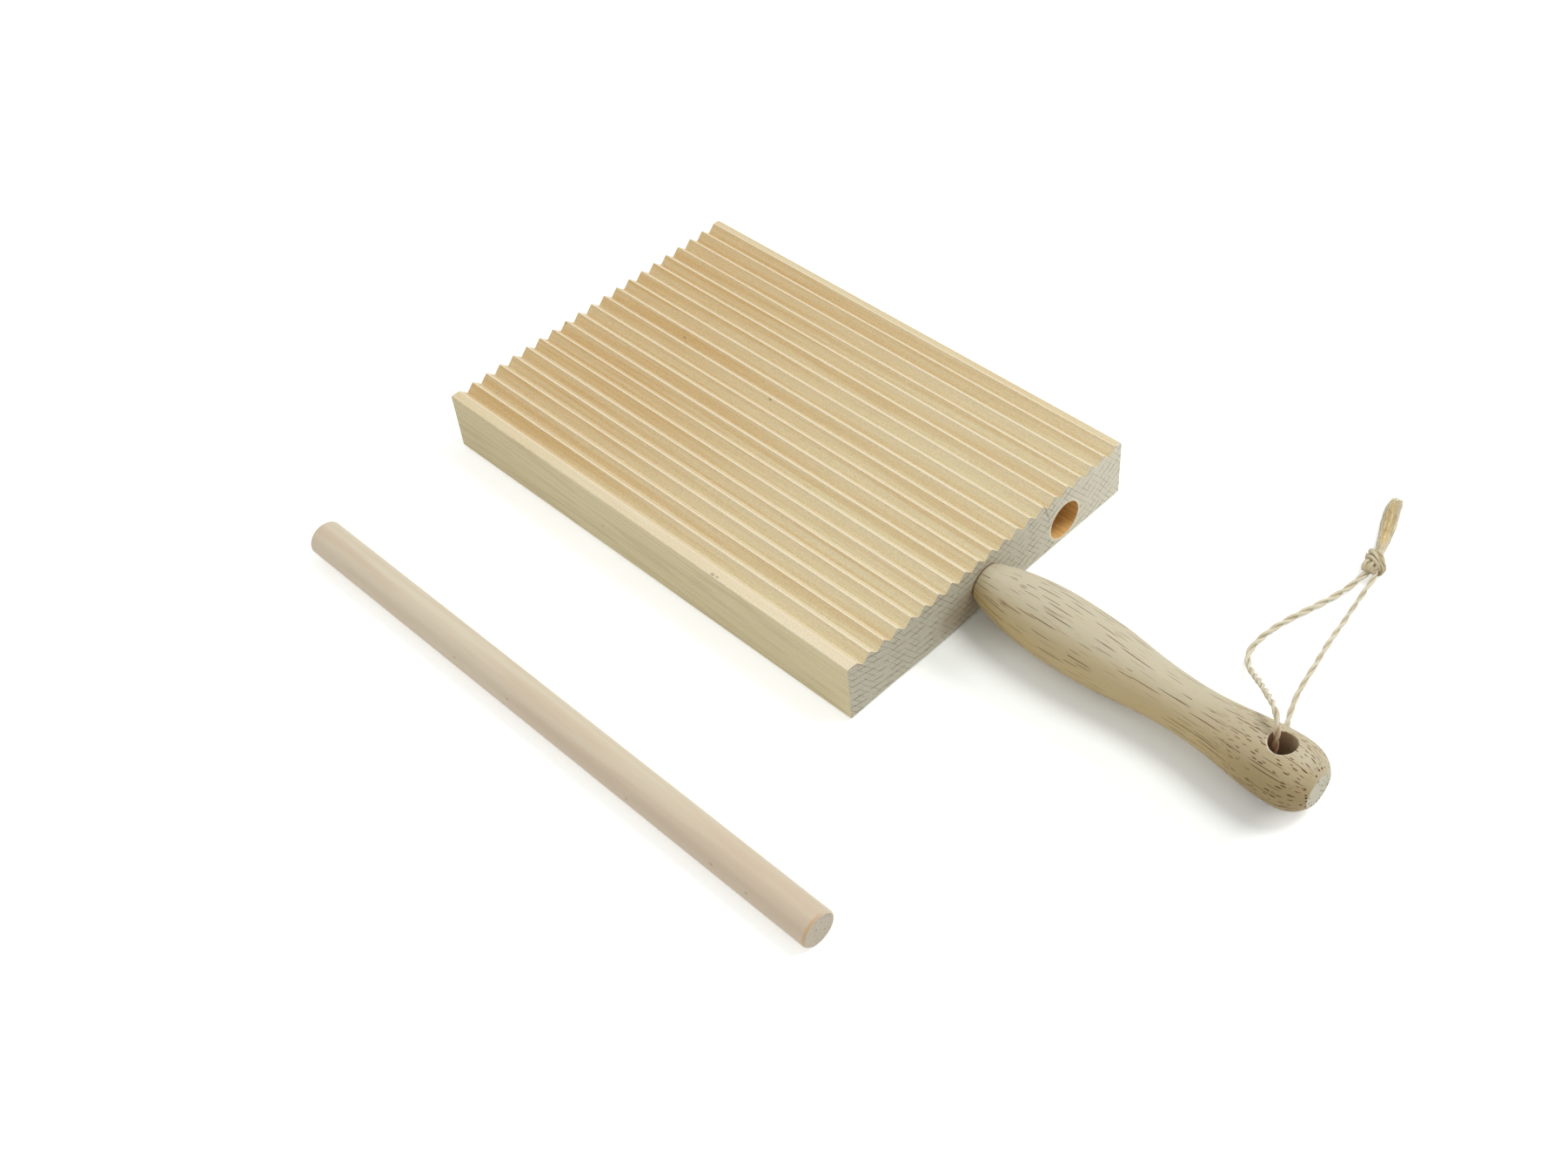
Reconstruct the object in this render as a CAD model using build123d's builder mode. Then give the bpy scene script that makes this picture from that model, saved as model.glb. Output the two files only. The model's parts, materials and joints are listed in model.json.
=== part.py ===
from build123d import *
from math import tan, radians, pi
import os

# Gnocchi board: a grooved plank with a turned handle, a loose rolling rod and a twine hanging loop.
# Millimetres. Origin at the centre of the plank's underside, +X towards the handle, +Z up.
# The grooves run along X. The rod lies on the table on the -Y side of the plank.

os.makedirs("parts", exist_ok=True)

# Plank
board_length = 160
board_width = 110
board_thickness = 20
groove_pitch = 5.2
least_land_width = 2.5
groove_depth = 2.3
crest_flat = 0.3
valley_flat = 0.2
far_edge_round = 1.8
near_edge_round = 0.4
base_edge_chamfer = 1.0

# Rolling rod and the bore that stores it
rod_diameter = 10.6
rod_length = 196
rod_end_chamfer = 0.5
rod_from_board = 47.8
rod_past_board = 40.3
bore_clearance = 0.6
bore_depth = 145
bore_height = 7.8
bore_from_middle = 30.6
bore_rim_chamfer = 0.3
drill_tip_length = 3
drill_tip_share = 0.02

# Turned handle and its glued tenon
handle_length = 104
handle_radius = 9.75
handle_root_radius = 5.4
handle_end_radius = 5
handle_from_middle = -2.4
tenon_diameter = 9
tenon_length = 25
tenon_chamfer = 0.8
glue_gap = 0.1
socket_end_gap = 1.0
hang_hole_diameter = 7.2
hang_hole_from_end = 11.3
hang_hole_top_round = 0.3
hang_hole_base_round = 1.5

# Twine, its knot and its two frayed ends
cord_diameter = 1.8
floor_gap = 0.05
knot_length = 7.5
knot_core_radius = 3.0
knot_wrap_radius = 0.95
knot_wrap_tilt = 24
knot_bite = 0.8
tail_length = 25.5
tail_tip_width = 2.8
tail_tip_height = 2.2
tail_gap = 0.2

cut_overrun = 2

# Places that follow from the sizes above
board_end = board_length / 2
groove_count = int((board_width - 2 * least_land_width) / groove_pitch)
land_width = (board_width - groove_count * groove_pitch) / 2
handle_height = board_thickness / 2
bore_radius = rod_diameter / 2 + bore_clearance
hang_hole_x = board_end + handle_length - hang_hole_from_end
cord_radius = cord_diameter / 2


# Plank: grooved section extruded along the grain, then eased, bored and socketed
with BuildPart() as ribbed_board:
    with BuildSketch(Plane.YZ.offset(-board_end)):
        with Locations((0, board_thickness / 2)):
            Rectangle(board_width, board_thickness)
        for groove in range(groove_count):
            middle = -board_width / 2 + land_width + (groove + 0.5) * groove_pitch
            half_mouth = (groove_pitch - crest_flat) / 2
            floor_level = board_thickness - groove_depth
            with BuildLine():
                Polyline(
                    (middle - half_mouth, board_thickness),
                    (middle - valley_flat / 2, floor_level),
                    (middle + valley_flat / 2, floor_level),
                    (middle + half_mouth, board_thickness),
                    close=True,
                )
            make_face(mode=Mode.SUBTRACT)
    extrude(amount=board_length)

    long_edges = ribbed_board.edges().filter_by(Axis.X)
    top_edges = long_edges.filter_by_position(
        Axis.Z, board_thickness - crest_flat, board_thickness + crest_flat
    ).sort_by(Axis.Y)
    fillet(top_edges[-1], radius=far_edge_round)
    near_side_edges = ribbed_board.edges().filter_by(Axis.X).group_by(Axis.Y)[0]
    fillet(near_side_edges.sort_by(Axis.Z)[-1], radius=near_edge_round)
    chamfer(ribbed_board.faces().sort_by(Axis.Z)[0].edges(), length=base_edge_chamfer)

    # Blind bore for the rod, with the drill's pointed end
    with BuildSketch(Plane.YZ.offset(board_end)):
        with Locations((bore_from_middle, bore_height)):
            Circle(bore_radius)
    extrude(amount=-bore_depth, mode=Mode.SUBTRACT)
    bore_floor = Plane(origin=(board_end - bore_depth, bore_from_middle, bore_height), z_dir=(-1, 0, 0))
    with BuildSketch(bore_floor):
        Circle(bore_radius)
    with BuildSketch(bore_floor.offset(drill_tip_length)):
        Circle(bore_radius * drill_tip_share)
    loft(mode=Mode.SUBTRACT)

    # Blind socket for the handle's tenon
    with BuildSketch(Plane.YZ.offset(board_end)):
        with Locations((handle_from_middle, handle_height)):
            Circle(tenon_diameter / 2 + glue_gap)
    extrude(amount=-(tenon_length + socket_end_gap), mode=Mode.SUBTRACT)

    end_rims = ribbed_board.edges().filter_by(GeomType.CIRCLE).group_by(Axis.X)[-1].sort_by(Axis.Y)
    chamfer(end_rims[-1], length=bore_rim_chamfer)

ribbed_board.part.label = "ribbed_board"
export_step(ribbed_board.part, "parts/ribbed_board.step")


# Handle: one turning with its tenon, a belly, a neck and a bulb that carries the hang hole.
# Shares of the handle's length and of its largest radius, from the root to the end.
handle_profile_shares = [
    (0.008, 0.590),
    (0.030, 0.670),
    (0.068, 0.780),
    (0.125, 0.895),
    (0.185, 0.970),
    (0.245, 1.000),
    (0.310, 0.990),
    (0.400, 0.940),
    (0.505, 0.810),
    (0.590, 0.738),
    (0.655, 0.727),
    (0.725, 0.770),
    (0.785, 0.850),
    (0.845, 0.925),
    (0.895, 0.958),
    (0.935, 0.940),
    (0.965, 0.850),
    (0.985, 0.705),
    (0.996, 0.570),
]

handle_root = (board_end, handle_from_middle, handle_height)
handle_plane = Plane(origin=handle_root, x_dir=(1, 0, 0), z_dir=(0, 0, 1))
handle_outline = [(0, handle_root_radius)]
handle_outline += [(handle_length * along, handle_radius * out) for along, out in handle_profile_shares]
handle_outline += [(handle_length, handle_end_radius)]

with BuildPart() as turned_handle:
    with BuildSketch(handle_plane):
        with BuildLine():
            Polyline(
                (0, handle_root_radius),
                (0, tenon_diameter / 2),
                (-tenon_length + tenon_chamfer, tenon_diameter / 2),
                (-tenon_length, tenon_diameter / 2 - tenon_chamfer),
                (-tenon_length, 0),
                (handle_length, 0),
                (handle_length, handle_end_radius),
            )
            Spline(handle_outline)
        make_face()
    revolve(axis=Axis(handle_root, (1, 0, 0)))

    # Hang hole down through the bulb, its lower mouth opened so that the twine isn't chafed
    with BuildSketch(Plane.XY.offset(-cut_overrun)):
        with Locations((hang_hole_x, handle_from_middle)):
            Circle(hang_hole_diameter / 2)
    extrude(amount=board_thickness + 2 * cut_overrun, mode=Mode.SUBTRACT)
    around_hole = (hang_hole_x - hang_hole_diameter, hang_hole_x + hang_hole_diameter)
    fillet(
        turned_handle.edges().filter_by_position(Axis.X, *around_hole).sort_by(Axis.Z)[0],
        radius=hang_hole_base_round,
    )
    fillet(
        turned_handle.edges().filter_by_position(Axis.X, *around_hole).sort_by(Axis.Z)[-1],
        radius=hang_hole_top_round,
    )

turned_handle.part.label = "turned_handle"
export_step(turned_handle.part, "parts/turned_handle.step")


# Rolling rod, lying on the table beside the plank
rod_radius = rod_diameter / 2
rod_y = -board_width / 2 - rod_from_board - rod_radius
rod_far_x = board_end + rod_past_board - rod_length

with BuildPart() as rolling_rod:
    with BuildSketch(Plane.YZ.offset(rod_far_x)):
        with Locations((rod_y, rod_radius)):
            Circle(rod_radius)
    extrude(amount=rod_length)
    chamfer(rolling_rod.edges().filter_by(GeomType.CIRCLE), length=rod_end_chamfer)

rolling_rod.part.label = "rolling_rod"
export_step(rolling_rod.part, "parts/rolling_rod.step")


# Twine: one loop through the hang hole, in two stretches that meet inside the hole.
# The first climbs out of the hole and over the handle's far shoulder to the table,
# the second leaves the hole underneath. Both lie on the table up to the knot.
over_points = [
    (170.45, -1.5, 9.0),
    (170.42, -1.65, 12.6),
    (170.45, -1.65, 16.6),
    (170.25, -1.5, 20.1),
    (169.2, -0.4, 22.7),
    (166.5, 2.2, 23.1),
    (163.8, 5.1, 20.8),
    (159.5, 9.8, 16.2),
    (154.2, 15.5, 10.9),
    (148.8, 21.2, 4.9),
    (144.6, 25.6, 1.4),
    (142.1, 29.8, 0.95),
    (141.8, 35.9, 0.95),
    (142.8, 42.9, 0.95),
    (144.9, 50.1, 0.95),
    (147.1, 57.0, 0.95),
    (148.6, 62.9, 1.2),
    (149.6, 67.5, 2.1),
    (150.5, 71.6, 3.2),
]
under_points = [
    (170.45, -1.5, 9.0),
    (170.468, -1.41, 6.84),
    (170.52, -1.33, 4.6),
    (170.6, -1.15, 2.4),
    (170.6, 0.6, 0.95),
    (169.4, 3.5, 0.95),
    (167.6, 7.6, 0.95),
    (164.7, 13.6, 0.95),
    (161.6, 20.4, 0.95),
    (159.2, 27.9, 0.95),
    (157.9, 35.8, 0.95),
    (156.1, 44.3, 0.95),
    (154.9, 52.6, 0.95),
    (153.7, 60.3, 1.0),
    (153.0, 66.5, 1.9),
    (152.4, 72.0, 3.2),
]


def bend_radii(points):
    """Largest tidy arc at each corner: 0.45 of the shorter run over the tangent of half the turn."""
    radii = []
    for before, corner, after in zip(points, points[1:], points[2:]):
        into = Vector(*corner) - Vector(*before)
        out = Vector(*after) - Vector(*corner)
        turn = into.get_angle(out)
        radii.append(0.45 * min(into.length, out.length) / tan(radians(turn / 2)))
    return radii


over_radii = bend_radii(over_points)
under_radii = bend_radii(under_points)

with BuildPart() as cord_over_handle:
    with BuildLine() as over_path:
        FilletPolyline(*over_points, radius=over_radii)
    with BuildSketch(Plane(origin=over_path.wire() @ 0, z_dir=over_path.wire() % 0)):
        Circle(cord_radius)
    sweep(path=over_path.wire())

with BuildPart() as cord_under_handle:
    with BuildLine() as under_path:
        FilletPolyline(*under_points, radius=under_radii)
    with BuildSketch(Plane(origin=under_path.wire() @ 0, z_dir=under_path.wire() % 0)):
        Circle(cord_radius)
    sweep(path=under_path.wire())

for name, stretch, path, radii in (
    ("over", cord_over_handle, over_path, over_radii),
    ("under", cord_under_handle, under_path, under_radii),
):
    ideal = pi * cord_radius**2 * path.wire().length
    print(name, "length", round(path.wire().length, 1), "volume share", round(stretch.part.volume / ideal, 4))
    print(name, "radii", [round(radius, 1) for radius in radii])

cord_over_handle.part.label = "cord_over_handle"
export_step(cord_over_handle.part, "parts/cord_over_handle.step")
cord_under_handle.part.label = "cord_under_handle"
export_step(cord_under_handle.part, "parts/cord_under_handle.step")


# Knot: a drawn-down overhand knot, as a core with two tilted wraps. Its axis runs from the loop to the tails.
knot_heading_shares = (-0.27, 0.96, 0)
tail_heading_shares = (-0.36, 0.93, 0)
up = Vector(0, 0, 1)
knot_heading = Vector(*knot_heading_shares).normalized()
knot_outer_radius = knot_core_radius + knot_wrap_radius / 2
loop_ends = (Vector(*over_points[-1]) + Vector(*under_points[-1])) / 2
knot_start = Vector(loop_ends.X, loop_ends.Y, knot_outer_radius + floor_gap) - knot_heading * knot_bite
knot_middle = knot_start + knot_heading * (knot_length / 2)

with BuildPart() as cord_knot:
    with BuildSketch(Plane(origin=knot_middle, x_dir=knot_heading, z_dir=up.cross(knot_heading))):
        Ellipse(knot_length / 2, knot_core_radius)
        with Locations((0, -knot_core_radius)):
            Rectangle(knot_length, 2 * knot_core_radius, mode=Mode.SUBTRACT)
    revolve(axis=Axis(knot_middle, knot_heading))
    for side in (-1, 1):
        wrap_plane = Plane(origin=knot_middle + knot_heading * (side * knot_wrap_radius), z_dir=knot_heading)
        with Locations(wrap_plane.rotated((0, side * knot_wrap_tilt, 0))):
            Torus(knot_outer_radius - knot_wrap_radius, knot_wrap_radius)

cord_knot.part.label = "cord_knot"
export_step(cord_knot.part, "parts/cord_knot.step")


# Frayed ends of the twine: two tapered brushes that leave the knot side by side and lie on the table
tail_heading = Vector(*tail_heading_shares).normalized()
tail_side = tail_heading.cross(up)
tail_root = knot_start + knot_heading * (knot_length - knot_bite)
tail_root_shares = (0.0, 0.4, 1.0)
tail_growth_shares = (0.0, 0.55, 1.0)

with BuildPart() as cord_tails:
    for side in (-1, 1):
        for along, growth in zip(tail_root_shares, tail_growth_shares):
            half_width = cord_radius + (tail_tip_width / 2 - cord_radius) * growth
            half_height = cord_radius + (tail_tip_height / 2 - cord_radius) * growth
            rest_height = half_height + floor_gap
            height = tail_root.Z + (rest_height - tail_root.Z) * growth
            middle = tail_root + tail_heading * (tail_length * along) + tail_side * (side * (half_width + tail_gap / 2))
            with BuildSketch(Plane(origin=(middle.X, middle.Y, height), x_dir=tail_side, z_dir=tail_heading)):
                Ellipse(half_width, half_height)
        loft()

cord_tails.part.label = "cord_tails"
export_step(cord_tails.part, "parts/cord_tails.step")
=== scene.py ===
import json
import math
import random

import bmesh
import bpy
from mathutils import Matrix, Vector, noise


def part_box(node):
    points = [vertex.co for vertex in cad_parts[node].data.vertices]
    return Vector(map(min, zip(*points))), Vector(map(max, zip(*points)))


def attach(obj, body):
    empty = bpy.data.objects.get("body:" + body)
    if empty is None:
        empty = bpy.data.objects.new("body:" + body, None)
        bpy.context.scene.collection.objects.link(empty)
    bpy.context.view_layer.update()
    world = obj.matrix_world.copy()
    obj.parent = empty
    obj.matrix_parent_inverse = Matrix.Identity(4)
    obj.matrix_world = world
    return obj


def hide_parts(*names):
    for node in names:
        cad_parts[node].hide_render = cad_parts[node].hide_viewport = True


# Gnocchi board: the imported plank, handle and rod carry wood materials,
# and the twine loop, its knot and its frayed ends are laid strand by strand.
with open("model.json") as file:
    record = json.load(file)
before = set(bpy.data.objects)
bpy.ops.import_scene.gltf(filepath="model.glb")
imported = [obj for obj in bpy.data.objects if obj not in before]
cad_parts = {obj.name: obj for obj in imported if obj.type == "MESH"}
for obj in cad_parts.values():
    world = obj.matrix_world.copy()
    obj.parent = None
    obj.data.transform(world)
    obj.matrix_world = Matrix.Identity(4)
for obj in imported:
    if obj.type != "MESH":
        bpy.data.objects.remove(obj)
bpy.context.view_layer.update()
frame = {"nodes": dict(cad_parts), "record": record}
nodes = frame["nodes"]
mounts = {mount["name"]: mount for mount in frame["record"]["mounts"]}
mm = 0.001
print("frame loaded:", ", ".join(sorted(nodes)))


def addObject(name, data):
    thing = bpy.data.objects.new(name, data)
    bpy.context.scene.collection.objects.link(thing)
    return thing


def emptyTree(owner):
    owner.use_nodes = True
    owner.node_tree.nodes.clear()
    return owner.node_tree


# Camera where the photograph was taken from
cameraSettings = dict(
    imageWidth=1802,
    focalPixels=2228.1,
    sensorWidth=36.0,
    clip=(0.01, 20),
    location=(0.3099, -0.2698, 0.3892),
    forward=(-0.5183, 0.4442, -0.7308),
    right=(0.7080, 0.7022, -0.0752),
)


def makeCamera(s):
    data = bpy.data.cameras.new("photoCamera")
    data.sensor_width = s["sensorWidth"]
    data.lens = s["focalPixels"] / s["imageWidth"] * s["sensorWidth"]
    data.clip_start, data.clip_end = s["clip"]
    data.dof.use_dof = False
    cam = addObject("photoCamera", data)
    back = -Vector(s["forward"]).normalized()
    right = Vector(s["right"]).normalized()
    up = back.cross(right).normalized()
    right = up.cross(back)
    turn = Matrix((right, up, back)).transposed().to_4x4()
    cam.matrix_world = Matrix.Translation(s["location"]) @ turn
    bpy.context.scene.camera = cam


makeCamera(cameraSettings)
print("camera placed")


# Shader helpers
def makeNode(tree, kind, inputs=None, **settings):
    node = tree.nodes.new(kind)
    for name, value in settings.items():
        setattr(node, name, value)
    for socket, value in (inputs or {}).items():
        if isinstance(value, bpy.types.NodeSocket):
            tree.links.new(value, node.inputs[socket])
        else:
            node.inputs[socket].default_value = value
    return node


def maths(tree, operation, a, b=0.0, c=0.0, clamp=False):
    node = makeNode(tree, "ShaderNodeMath", {0: a, 1: b, 2: c}, operation=operation, use_clamp=clamp)
    return node.outputs[0]


def times(tree, a, b):
    return maths(tree, "MULTIPLY", a, b)


def timesPlus(tree, a, factor, base, clamp=False):
    return maths(tree, "MULTIPLY_ADD", a, factor, base, clamp)


def offFrom(tree, a, b):
    # How far a is from b, either way
    return maths(tree, "ABSOLUTE", maths(tree, "SUBTRACT", a, b))


def vectorMaths(tree, operation, a, b=(0, 0, 0), output="Vector"):
    return makeNode(tree, "ShaderNodeVectorMath", {0: a, 1: b}, operation=operation).outputs[output]


def lengthOf(tree, vector):
    return vectorMaths(tree, "LENGTH", vector, output="Value")


def dot(tree, a, b):
    return vectorMaths(tree, "DOT_PRODUCT", a, b, output="Value")


def ramp(tree, value, low, high, falls=False):
    # 0 below low and 1 above high, or the other way round
    ends = {"To Min": 1.0 if falls else 0.0, "To Max": 0.0 if falls else 1.0}
    inputs = {"Value": value, "From Min": low, "From Max": high, **ends}
    return makeNode(tree, "ShaderNodeMapRange", inputs, interpolation_type="SMOOTHSTEP").outputs[0]


def bandOn(tree, base, value, low, high, amount, falls=False, clamp=False):
    # The base with an amount of a smooth band on top
    return timesPlus(tree, ramp(tree, value, low, high, falls), amount, base, clamp)


def mixValue(tree, mask, under, over):
    return makeNode(tree, "ShaderNodeMix", {0: mask, 2: under, 3: over}).outputs[0]


def mix(tree, mask, under, over):
    under, over = ((*end, 1.0) if isinstance(end, tuple) else end for end in (under, over))
    return makeNode(tree, "ShaderNodeMix", {0: mask, 6: under, 7: over}, data_type="RGBA").outputs[2]


def noiseValue(tree, vector, scale=1.0, detail=2.0, roughness=0.5):
    inputs = {"Vector": vector, "Scale": scale, "Detail": detail, "Roughness": roughness}
    return makeNode(tree, "ShaderNodeTexNoise", inputs).outputs[0]


def combine(tree, x=0.0, y=0.0, z=0.0):
    return makeNode(tree, "ShaderNodeCombineXYZ", {0: x, 1: y, 2: z}).outputs[0]


def separate(tree, vector):
    return makeNode(tree, "ShaderNodeSeparateXYZ", {0: vector}).outputs


def newGroup(name, inputs, outputs):
    # An input with a number is a value and one without is a vector; outputs are values
    group = bpy.data.node_groups.new(name, "ShaderNodeTree")
    for socketName, default in inputs.items():
        kind = "NodeSocketVector" if default is None else "NodeSocketFloat"
        socket = group.interface.new_socket(socketName, in_out="INPUT", socket_type=kind)
        if default is not None:
            socket.default_value = default
    for socketName in outputs:
        group.interface.new_socket(socketName, in_out="OUTPUT", socket_type="NodeSocketFloat")
    return group, group.nodes.new("NodeGroupInput").outputs, group.nodes.new("NodeGroupOutput").inputs


def useGroup(tree, group, inputs):
    return makeNode(tree, "ShaderNodeGroup", inputs, node_tree=group).outputs


groupSettings = dict(
    wanderScale=14.0,
    poreReach=(0.24, 0.13),  # spread and least, in cells
    poreCore=0.65,
    crowdScale=70.0,
    crowdRamp=(0.22, 0.5),
    driftScale=50.0,
    brokenRamp=(0.36, 0.62),
    tearScale=2400.0,
    ringLines={"wobble": 0.0034, "width": 0.12, "breakScale": 260.0},
    sawLines={"wobble": 0.0016, "width": 0.11, "breakScale": 200.0},
    spotCore=0.3,
)


def makeWoodFigure(s):
    # Soft bands, fine fibres and a mottle, all stretched along X
    group, given, result = newGroup(
        "woodFigure",
        {
            "Vector": None, "Band Length": 0.12, "Band Width": 0.006, "Fibre Length": 0.03,
            "Fibre Width": 0.0006, "Mottle Size": 0.001, "Wander": 0.002,
        },
        ("Bands", "Fibres", "Mottle"),
    )
    slow = noiseValue(group, given["Vector"], scale=s["wanderScale"], detail=1.0)
    drift = times(group, maths(group, "SUBTRACT", slow, 0.5), given["Wander"])
    place = vectorMaths(group, "ADD", given["Vector"], combine(group, 0.0, drift, drift))
    for name, vector, long, wide, detail in (
        ("Bands", place, "Band Length", "Band Width", 3.0),
        ("Fibres", place, "Fibre Length", "Fibre Width", 2.0),
        ("Mottle", given["Vector"], "Mottle Size", "Mottle Size", 2.0),
    ):
        cell = combine(group, given[long], given[wide], given[wide])
        value = noiseValue(group, vectorMaths(group, "DIVIDE", vector, cell), detail=detail)
        group.links.new(value, result[name])
    return group


def makeWoodPores(s):
    # Open vessels as long thin dashes: Vector's X runs along them and Y across them over the surface
    group, given, result = newGroup(
        "woodPores",
        {"Vector": None, "Length": 0.02, "Gap": 0.0018, "Thinness": 3.0, "Share": 0.6},
        ("Pores",),
    )
    cell = combine(group, given["Length"], given["Gap"], 1.0)
    scaled = vectorMaths(group, "DIVIDE", given["Vector"], cell)
    inputs = {"Vector": scaled, "Scale": 1.0}
    cells = makeNode(group, "ShaderNodeTexVoronoi", inputs, feature="F1", voronoi_dimensions="2D").outputs
    chance = separate(group, cells["Color"])
    reach = timesPlus(group, chance[1], *s["poreReach"])
    away = vectorMaths(group, "SUBTRACT", scaled, cells["Position"])
    away = lengthOf(group, vectorMaths(group, "MULTIPLY", away, combine(group, 1.0, given["Thinness"])))
    inside = ramp(group, away, times(group, reach, s["poreCore"]), reach, falls=True)
    crowd = noiseValue(group, given["Vector"], scale=s["crowdScale"], detail=1.0)
    crowd = times(group, ramp(group, crowd, *s["crowdRamp"]), given["Share"])
    chosen = maths(group, "LESS_THAN", chance[0], crowd)
    group.links.new(times(group, inside, chosen), result["Pores"])
    return group


def makeEndGrain(s):
    # Growth rings about the pith, slanting saw marks across them, and the torn grain of a sawn end
    group, given, result = newGroup(
        "endGrain",
        {"Vector": None, "Pith": None, "Ring Spacing": 0.0028, "Saw Spacing": 0.0016, "Saw Normal": None},
        ("Rings", "Saw", "Tear"),
    )
    flat = vectorMaths(group, "MULTIPLY", given["Vector"], (0.0, 1.0, 1.0))

    def brokenLines(across, spacing, wobble, width, breakScale):
        # Thin lines a spacing apart that wander by the wobble and fade out in places
        drift = times(group, noiseValue(group, flat, scale=s["driftScale"], detail=1.0), wobble)
        turn = maths(group, "FRACT", maths(group, "DIVIDE", maths(group, "ADD", across, drift), spacing))
        line = ramp(group, offFrom(group, turn, 0.5), 0.0, width, falls=True)
        broken = ramp(group, noiseValue(group, flat, scale=breakScale), *s["brokenRamp"])
        return times(group, line, broken)

    out = lengthOf(group, vectorMaths(group, "SUBTRACT", flat, given["Pith"]))
    across = dot(group, flat, given["Saw Normal"])
    tear = noiseValue(group, flat, scale=s["tearScale"], detail=3.0, roughness=0.7)
    group.links.new(brokenLines(out, given["Ring Spacing"], **s["ringLines"]), result["Rings"])
    group.links.new(brokenLines(across, given["Saw Spacing"], **s["sawLines"]), result["Saw"])
    group.links.new(tear, result["Tear"])
    return group


def makeNearAxis():
    # Distance from a line through Centre: Across blanks the line's own direction
    inputs = {"Vector": None, "Centre": None, "Across": None}
    group, given, result = newGroup("nearAxis", inputs, ("Distance",))
    away = vectorMaths(group, "SUBTRACT", given["Vector"], given["Centre"])
    flat = vectorMaths(group, "MULTIPLY", away, given["Across"])
    group.links.new(lengthOf(group, flat), result["Distance"])
    return group


woodFigure = makeWoodFigure(groupSettings)
woodPores = makeWoodPores(groupSettings)
endGrain = makeEndGrain(groupSettings)
nearAxis = makeNearAxis()


def distanceFrom(tree, place, centre, across):
    return useGroup(tree, nearAxis, {"Vector": place, "Centre": centre, "Across": across})["Distance"]


def addSpots(tree, place, colour, spots, across, spotColour):
    # Soft marks, each given by its centre, radius and strength
    for *centre, radius, strength in spots:
        away = distanceFrom(tree, place, centre, across)
        mask = bandOn(tree, 0.0, away, groupSettings["spotCore"] * radius, radius, strength, falls=True)
        colour = mix(tree, mask, colour, spotColour)
    return colour


def newMaterial(name, roughness):
    material = bpy.data.materials.new(name)
    tree = emptyTree(material)
    out = tree.nodes.new("ShaderNodeOutputMaterial")
    shader = makeNode(tree, "ShaderNodeBsdfPrincipled", {"Roughness": roughness})
    tree.links.new(shader.outputs[0], out.inputs[0])
    coordinates = tree.nodes.new("ShaderNodeTexCoord").outputs
    return material, tree, shader, coordinates["Object"], separate(tree, coordinates["Normal"])


def dress(tree, shader, colour, height, distance):
    bump = makeNode(tree, "ShaderNodeBump", {"Height": height, "Distance": distance, "Strength": 1.0})
    tree.links.new(bump.outputs[0], shader.inputs["Normal"])
    tree.links.new(colour, shader.inputs["Base Color"])


# Plank: pale flat-sawn wood, grooved on top
bore = mounts["rod_bore"]
boreRadius = bore["dims"]["r_mm"] * mm
boardLow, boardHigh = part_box("ribbed_board")

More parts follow.
